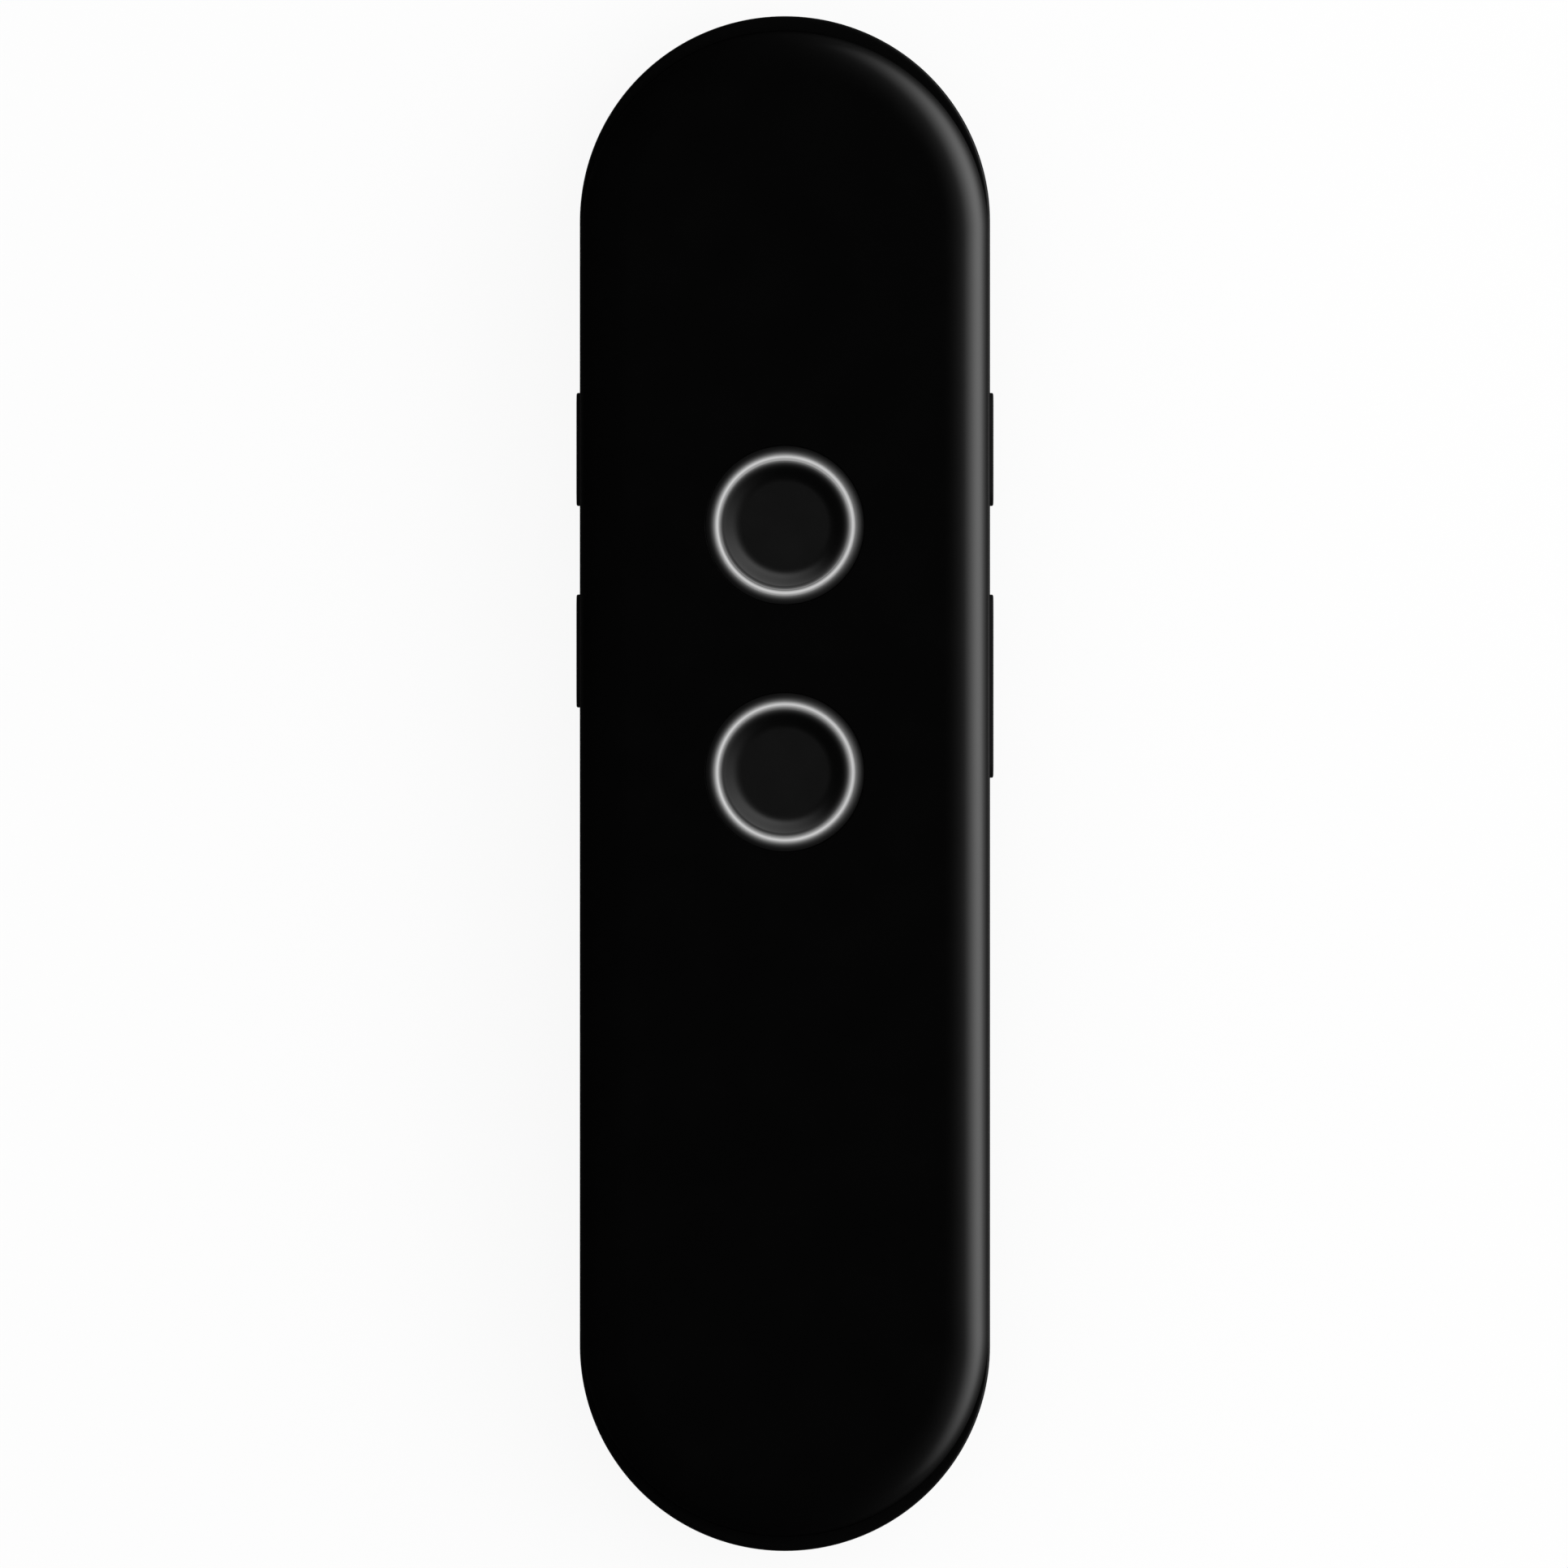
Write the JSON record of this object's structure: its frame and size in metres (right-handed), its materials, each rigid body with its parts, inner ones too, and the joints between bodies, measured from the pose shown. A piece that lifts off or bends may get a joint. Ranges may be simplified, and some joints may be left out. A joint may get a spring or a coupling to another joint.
{
  "type": "handheld translator",
  "caption": "Slim stadium-shaped handheld translator with dished round talk keys in lit rings, side keys and a volume rocker.",
  "frame": {"origin": "centre of the flat back, on the plane that the device lies on", "axes": "+X to the right and +Y towards the top end as the front is looked at, +Z out of the front face"},
  "size_m": [0.0386, 0.1422, 0.0123],
  "materials": {
    "gloss_black": "polished black polycarbonate",
    "satin_black": "satin black moulding",
    "key_black": "satin black key cap",
    "lit_ring": "frosted clear light guide",
    "board_green": "solder mask on glass-fibre laminate",
    "plated_steel": "bright plated steel",
    "dark_steel": "black coated steel",
    "chip_black": "moulded black epoxy",
    "switch_cream": "cream moulded nylon",
    "rubber_black": "matt black rubber",
    "foil_silver": "silver laminate foil",
    "tape_white": "white film and nylon",
    "foam_black": "open black foam and cloth",
    "wire_red": "red wire sleeve",
    "wire_black": "black wire sleeve"
  },
  "bodies": {
    "housing": {"antenna": "switch_cream", "back_cover": "satin_black", "battery": "foil_silver", "battery_lead_black": "wire_black", "battery_lead_red": "wire_red", "battery_plug": "chip_black", "battery_socket": "tape_white", "battery_tape": "tape_white", "board_screw_1": "plated_steel", "board_screw_2": "plated_steel", "board_screw_3": "plated_steel", "board_screw_4": "plated_steel", "frame_screw_1": "plated_steel", "frame_screw_2": "plated_steel", "frame_screw_3": "plated_steel", "frame_screw_4": "plated_steel", "front_cover": "gloss_black", "left_lower_switch": "switch_cream", "left_upper_switch": "switch_cream", "lower_bezel": "gloss_black", "lower_light_ring": "lit_ring", "lower_ring_lamp_left": "tape_white", "lower_ring_lamp_right": "tape_white", "lower_talk_switch": "switch_cream", "main_board": "board_green", "microphone": "foil_silver", "microphone_boot": "rubber_black", "mid_frame": "satin_black", "port_core": "chip_black", "port_shell": "plated_steel", "power_switch": "switch_cream", "processor_chip": "chip_black", "rocker_pin": "plated_steel", "speaker": "dark_steel", "speaker_gasket": "foam_black", "speaker_grille": "dark_steel", "speaker_lead_black": "wire_black", "speaker_lead_red": "wire_red", "speaker_mesh": "foam_black", "upper_bezel": "gloss_black", "upper_light_ring": "lit_ring", "upper_ring_lamp_left": "tape_white", "upper_ring_lamp_right": "tape_white", "upper_talk_switch": "switch_cream", "volume_down_switch": "switch_cream", "volume_up_switch": "switch_cream", "wireless_shield": "plated_steel"},
    "upper_talk_key": {"upper_talk_key": "key_black", "upper_talk_plunger": "rubber_black"},
    "lower_talk_key": {"lower_talk_key": "key_black", "lower_talk_plunger": "rubber_black"},
    "left_upper_key": {"left_upper_key": "satin_black", "left_upper_plunger": "rubber_black"},
    "left_lower_key": {"left_lower_key": "satin_black", "left_lower_plunger": "rubber_black"},
    "power_key": {"power_key": "satin_black", "power_plunger": "rubber_black"},
    "volume_rocker": {"volume_rocker": "satin_black", "volume_up_plunger": "rubber_black", "volume_down_plunger": "rubber_black"}
  },
  "joints": [
    {"name": "upper_talk_key_press", "type": "slide", "parent": "housing", "child": "upper_talk_key", "axis": [0, 0, -1], "range_m": [0, 0.00035], "stiffness_N_per_m": 3000},
    {"name": "lower_talk_key_press", "type": "slide", "parent": "housing", "child": "lower_talk_key", "axis": [0, 0, -1], "range_m": [0, 0.00035], "stiffness_N_per_m": 3000},
    {"name": "left_upper_key_press", "type": "slide", "parent": "housing", "child": "left_upper_key", "axis": [1, 0, 0], "range_m": [0, 0.00022], "stiffness_N_per_m": 3000},
    {"name": "left_lower_key_press", "type": "slide", "parent": "housing", "child": "left_lower_key", "axis": [1, 0, 0], "range_m": [0, 0.00022], "stiffness_N_per_m": 3000},
    {"name": "power_key_press", "type": "slide", "parent": "housing", "child": "power_key", "axis": [-1, 0, 0], "range_m": [0, 0.00022], "stiffness_N_per_m": 3000},
    {"name": "volume_rocker_tilt", "type": "hinge", "parent": "housing", "child": "volume_rocker", "pos_m": [0.0161, 0.00904, 0.007], "axis": [0, 0, 1], "range_deg": [-1.6, 1.6], "stiffness_Nm_per_rad": 0.15}
  ]
}
